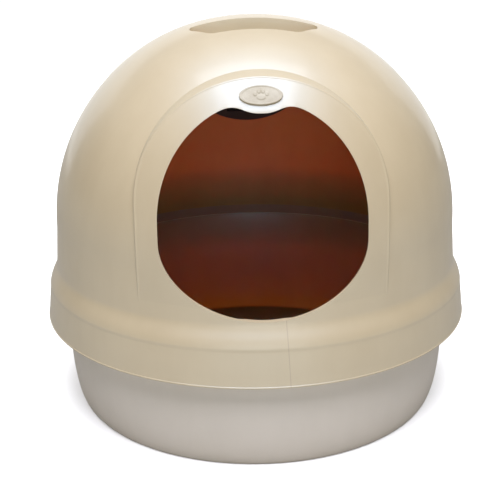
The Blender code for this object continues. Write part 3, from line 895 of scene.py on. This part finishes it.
def pan_surface(face):
    """Which of the pan's materials a face takes: the outside, or the inside with painted shade."""
    x, y, z = face.center
    reach = sqrt(x * x + y * y)
    wall = pan_wall(max(z, PAN_CORNER_HEIGHT), WALL)
    inside = WALL / 2 < z < PAN_HEIGHT - SKIN and reach < wall + SKIN
    turned_out = face.normal.x * x + face.normal.y * y > TURNED_OUT * reach
    return SHADED_INSIDE if inside and not (turned_out or face.normal.z < TURNED_DOWN) else OUTSIDE


hood = build_hood()
pan = build_pan()
badge = build_badge()
give(hood, HOOD_SURFACES)
give(pan, PAN_SURFACES)
give(badge, [badge_plastic()])
for piece, surface in ((hood, hood_surface), (pan, pan_surface)):
    for polygon in piece.data.polygons:
        polygon.material_index = surface(polygon)
for piece, body, node, slot in ((hood, "hood", "hood", "hood_plastic"), (pan, "base", "pan", "pan_plastic"),
                                (badge, "hood", "badge", "badge_plastic")):
    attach(piece, body)
    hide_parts(node)

cover_plastic = pearl_plastic("cover_grey", tone(92, 70, 58), tone(78, 58, 48), (0.4, 0.55), 0.05)
pin_plastic = pearl_plastic("pin_beige", tone(150, 124, 100), tone(138, 112, 90), (0.35, 0.5), 0.1)
give(cad["filter_cover"], [cover_plastic])
give(cad["filter_pad"], [carbon_foam()])
give(cad["hinge_pin"], [pin_plastic])


# ---------------------------------------------------------------- studio

FLOOR_SIZE = 30.0
FLOOR_SEEN = ((0.3, (1.01, 1.01, 1.01, 1)), (0.7, (1.04, 1.04, 1.04, 1)))
FLOOR_LIGHT_STRENGTH = 3.3
FLOOR_LIGHT_WIDTH = radians(110)
FLOOR_LIGHT_FROM = (0.0, -0.1, 1.0)
FLOOR_BOUNCE = ((0.3, (0.31, 0.29, 0.26, 1)), (0.7, (0.33, 0.31, 0.28, 1)))


def build_floor():
    """A clean white floor: what the object gathers from it is dimmer than what the camera sees."""
    bm = bmesh.new()
    bmesh.ops.create_grid(bm, x_segments=8, y_segments=8, size=FLOOR_SIZE)
    floor = object_from(bm, "floor")
    recipe = Recipe("pale_floor")
    seen = recipe.add("ShaderNodeBsdfDiffuse")
    recipe.join(recipe.ramp(recipe.noise(2.0), FLOOR_SEEN), seen.inputs["Color"])
    path = recipe.add("ShaderNodeLightPath")
    mix = recipe.add("ShaderNodeMixShader")
    recipe.join(path.outputs["Is Camera Ray"], mix.inputs["Fac"])
    recipe.join(recipe.shader.outputs["BSDF"], mix.inputs[1])
    recipe.join(seen.outputs["BSDF"], mix.inputs[2])
    recipe.join(mix.outputs["Shader"], recipe.tree.nodes["Material Output"].inputs["Surface"])
    bounce = recipe.ramp(recipe.noise(2.0), FLOOR_BOUNCE)
    floor.data.materials.append(recipe.set(Base_Color=bounce, Roughness=0.9, Specular_IOR_Level=0.1))
    return floor


def area_light(name, where, towards, size, power, colour):
    """A soft rectangle of light, hidden from the camera."""
    data = bpy.data.lights.new(name, "AREA")
    data.shape = "RECTANGLE"
    data.size, data.size_y = size
    data.energy = power
    data.color = colour
    lamp = bpy.data.objects.new(name, data)
    lamp.location = where
    lamp.rotation_euler = (Vector(towards) - Vector(where)).to_track_quat("-Z", "Y").to_euler()
    lamp.visible_camera = False
    bpy.context.scene.collection.objects.link(lamp)


def floor_light(floor):
    """A wide sun for the floor alone, so that it stays white and takes the object's soft shadow."""
    data = bpy.data.lights.new("floor_light", "SUN")
    data.energy = FLOOR_LIGHT_STRENGTH
    data.angle = FLOOR_LIGHT_WIDTH
    lamp = bpy.data.objects.new("floor_light", data)
    lamp.rotation_euler = Vector(FLOOR_LIGHT_FROM).to_track_quat("Z", "Y").to_euler()
    bpy.context.scene.collection.objects.link(lamp)
    only = bpy.data.collections.new("floor_only")
    only.objects.link(floor)
    lamp.light_linking.receiver_collection = only


def build_world():
    """White behind the object, dim grey for everything that the object reflects or gathers."""
    world = bpy.data.worlds.new("studio")
    bpy.context.scene.world = world
    world.use_nodes = True
    tree = world.node_tree
    dim = tree.nodes["Background"]
    dim.inputs["Color"].default_value = (0.93, 0.96, 1.0, 1.0)
    dim.inputs["Strength"].default_value = 0.02
    white = tree.nodes.new("ShaderNodeBackground")
    white.inputs["Color"].default_value = (1, 1, 1, 1)
    path = tree.nodes.new("ShaderNodeLightPath")
    mix = tree.nodes.new("ShaderNodeMixShader")
    tree.links.new(path.outputs["Is Camera Ray"], mix.inputs["Fac"])
    tree.links.new(dim.outputs["Background"], mix.inputs[1])
    tree.links.new(white.outputs["Background"], mix.inputs[2])
    tree.links.new(mix.outputs["Shader"], tree.nodes["World Output"].inputs["Surface"])


CAMERA_PLACE = (-0.0482, -1.1751, 0.5878)
CAMERA_DOWN = radians(18.904)
CAMERA_YAW = radians(-2.03)
CAMERA_ROLL = radians(-0.758)
CAMERA_LENS = 65.6
SENSOR = 36.0


def build_camera():
    """The camera of the reference view."""
    data = bpy.data.cameras.new("camera")
    data.lens = CAMERA_LENS
    data.sensor_width = SENSOR
    camera = bpy.data.objects.new("camera", data)
    yaw = Matrix.Rotation(CAMERA_YAW, 4, "Z")
    tilt = Matrix.Rotation(pi / 2 - CAMERA_DOWN, 4, "X")
    roll = Matrix.Rotation(CAMERA_ROLL, 4, "Z")
    camera.matrix_world = Matrix.Translation(CAMERA_PLACE) @ yaw @ tilt @ roll
    bpy.context.scene.collection.objects.link(camera)
    bpy.context.scene.camera = camera


# Name, place, point that it faces, size, power and colour
SOFT_LIGHTS = (
    ("overhead", (0.0, -0.2, 2.2), (0, -0.2, 0), (1.6, 1.2), 25, (0.98, 0.99, 1.10)),
    ("overhead_front", (0.0, -1.4, 2.2), (0, -0.7, 0), (1.6, 1.2), 41, (0.98, 0.99, 1.12)),
    ("front_low", (0.0, -2.6, 0.4), (0, 0, 0.3), (1.8, 0.8), 7.5, (1.0, 0.97, 0.92)),
    ("back_card", (0.0, 2.8, 1.0), (0, 0, 0.3), (6.0, 2.0), 44, (1, 1, 1)))

floor = build_floor()
build_world()
build_camera()
for light in SOFT_LIGHTS:
    area_light(*light)
floor_light(floor)
bpy.context.scene.view_settings.view_transform = "Standard"


def corners(bounds):
    return [list(corner) for corner in bounds]
